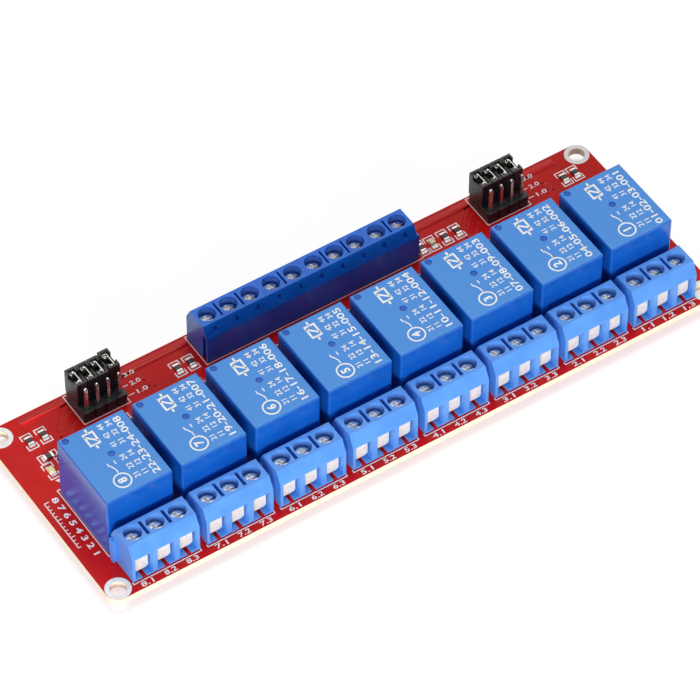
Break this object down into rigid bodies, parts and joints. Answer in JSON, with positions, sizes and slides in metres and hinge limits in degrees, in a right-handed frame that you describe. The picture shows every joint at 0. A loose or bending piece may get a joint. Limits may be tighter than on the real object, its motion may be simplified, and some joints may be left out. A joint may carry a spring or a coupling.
{
  "type": "relay module board",
  "caption": "Long circuit board with a row of sealed relays, screw terminals along both long edges and two blocks of jumper headers.",
  "frame": {"origin": "centre of the four mounting holes, on the underside of the circuit board", "axes": "+X along the row of relays towards channel 1, +Y towards the input terminal, +Z out of the component side"},
  "size_m": [0.1456, 0.0506, 0.0196],
  "materials": {
    "board_red": "glossy solder mask over a dark core",
    "solder": "bright solder",
    "relay_cover": "satin moulded plastic",
    "relay_base": "dull moulded plastic",
    "contact_brass": "tinned brass",
    "yoke_iron": "zinc-plated iron",
    "core_iron": "bare iron",
    "bobbin": "moulded plastic",
    "winding": "enamelled copper wire",
    "armature": "plated iron with a bronze spring",
    "terminal_blue": "glossy moulded plastic",
    "screw_steel": "bright plated steel",
    "clamp_steel": "bright plated steel",
    "terminal_contact": "tinned brass",
    "header_black": "dull moulded plastic",
    "header_pin": "bright plated brass",
    "cap_black": "dull moulded plastic with a spring clip",
    "resistor": "coated ceramic with tinned ends",
    "indicator": "clear lens on a pale carrier",
    "optocoupler": "moulded epoxy with tinned leads",
    "diode": "moulded epoxy with tinned ends",
    "transistor": "moulded epoxy with tinned leads"
  },
  "bodies": {
    "board": {"circuit_board": "board_red", "solder_joints": "solder", "relay_cover_1": "relay_cover", "relay_cover_2": "relay_cover", "relay_cover_3": "relay_cover", "relay_cover_4": "relay_cover", "relay_cover_5": "relay_cover", "relay_cover_6": "relay_cover", "relay_cover_7": "relay_cover", "relay_cover_8": "relay_cover", "relay_bases": "relay_base", "relay_pins": "contact_brass", "relay_yokes": "yoke_iron", "relay_cores": "core_iron", "relay_bobbins": "bobbin", "relay_windings": "winding", "output_terminal_1": "terminal_blue", "output_terminal_2": "terminal_blue", "output_terminal_3": "terminal_blue", "output_terminal_4": "terminal_blue", "output_terminal_5": "terminal_blue", "output_terminal_6": "terminal_blue", "output_terminal_7": "terminal_blue", "output_terminal_8": "terminal_blue", "output_screws": "screw_steel", "output_clamps": "clamp_steel", "output_contacts": "terminal_contact", "input_terminal_1": "terminal_blue", "input_terminal_2": "terminal_blue", "input_terminal_3": "terminal_blue", "input_terminal_4": "terminal_blue", "input_screws": "screw_steel", "input_clamps": "clamp_steel", "input_contacts": "terminal_contact", "header_base_left": "header_black", "header_base_right": "header_black", "header_pins": "header_pin", "resistors": "resistor", "indicators": "indicator", "optocouplers": "optocoupler", "diodes": "diode", "transistors": "transistor"},
    "armature_1": {"relay_armature_1": "armature"},
    "armature_2": {"relay_armature_2": "armature"},
    "armature_3": {"relay_armature_3": "armature"},
    "armature_4": {"relay_armature_4": "armature"},
    "armature_5": {"relay_armature_5": "armature"},
    "armature_6": {"relay_armature_6": "armature"},
    "armature_7": {"relay_armature_7": "armature"},
    "armature_8": {"relay_armature_8": "armature"},
    "cap_1": {"jumper_cap_1": "cap_black"},
    "cap_2": {"jumper_cap_2": "cap_black"},
    "cap_3": {"jumper_cap_3": "cap_black"},
    "cap_4": {"jumper_cap_4": "cap_black"},
    "cap_5": {"jumper_cap_5": "cap_black"},
    "cap_6": {"jumper_cap_6": "cap_black"},
    "cap_7": {"jumper_cap_7": "cap_black"},
    "cap_8": {"jumper_cap_8": "cap_black"}
  },
  "joints": [
    {"name": "armature_1_pull", "type": "hinge", "parent": "board", "child": "armature_1", "pos_m": [0.0595, 0.0004, 0.0135], "axis": [1, 0, 0], "range_deg": [0, 2.5], "stiffness_Nm_per_rad": 0.001, "springref_deg": -11.46},
    {"name": "armature_2_pull", "type": "hinge", "parent": "board", "child": "armature_2", "pos_m": [0.0425, 0.0004, 0.0135], "axis": [1, 0, 0], "range_deg": [0, 2.5], "stiffness_Nm_per_rad": 0.001, "springref_deg": -11.46},
    {"name": "armature_3_pull", "type": "hinge", "parent": "board", "child": "armature_3", "pos_m": [0.0255, 0.0004, 0.0135], "axis": [1, 0, 0], "range_deg": [0, 2.5], "stiffness_Nm_per_rad": 0.001, "springref_deg": -11.46},
    {"name": "armature_4_pull", "type": "hinge", "parent": "board", "child": "armature_4", "pos_m": [0.0085, 0.0004, 0.0135], "axis": [1, 0, 0], "range_deg": [0, 2.5], "stiffness_Nm_per_rad": 0.001, "springref_deg": -11.46},
    {"name": "armature_5_pull", "type": "hinge", "parent": "board", "child": "armature_5", "pos_m": [-0.0085, 0.0004, 0.0135], "axis": [1, 0, 0], "range_deg": [0, 2.5], "stiffness_Nm_per_rad": 0.001, "springref_deg": -11.46},
    {"name": "armature_6_pull", "type": "hinge", "parent": "board", "child": "armature_6", "pos_m": [-0.0255, 0.0004, 0.0135], "axis": [1, 0, 0], "range_deg": [0, 2.5], "stiffness_Nm_per_rad": 0.001, "springref_deg": -11.46},
    {"name": "armature_7_pull", "type": "hinge", "parent": "board", "child": "armature_7", "pos_m": [-0.0425, 0.0004, 0.0135], "axis": [1, 0, 0], "range_deg": [0, 2.5], "stiffness_Nm_per_rad": 0.001, "springref_deg": -11.46},
    {"name": "armature_8_pull", "type": "hinge", "parent": "board", "child": "armature_8", "pos_m": [-0.0595, 0.0004, 0.0135], "axis": [1, 0, 0], "range_deg": [0, 2.5], "stiffness_Nm_per_rad": 0.001, "springref_deg": -11.46},
    {"name": "cap_1_lift", "type": "slide", "parent": "board", "child": "cap_1", "axis": [0, 0, 1], "range_m": [0, 0.007]},
    {"name": "cap_2_lift", "type": "slide", "parent": "board", "child": "cap_2", "axis": [0, 0, 1], "range_m": [0, 0.007]},
    {"name": "cap_3_lift", "type": "slide", "parent": "board", "child": "cap_3", "axis": [0, 0, 1], "range_m": [0, 0.007]},
    {"name": "cap_4_lift", "type": "slide", "parent": "board", "child": "cap_4", "axis": [0, 0, 1], "range_m": [0, 0.007]},
    {"name": "cap_5_lift", "type": "slide", "parent": "board", "child": "cap_5", "axis": [0, 0, 1], "range_m": [-0.0006, 0.0064]},
    {"name": "cap_6_lift", "type": "slide", "parent": "board", "child": "cap_6", "axis": [0, 0, 1], "range_m": [0, 0.007]},
    {"name": "cap_7_lift", "type": "slide", "parent": "board", "child": "cap_7", "axis": [0, 0, 1], "range_m": [0, 0.007]},
    {"name": "cap_8_lift", "type": "slide", "parent": "board", "child": "cap_8", "axis": [0, 0, 1], "range_m": [0, 0.007]}
  ]
}
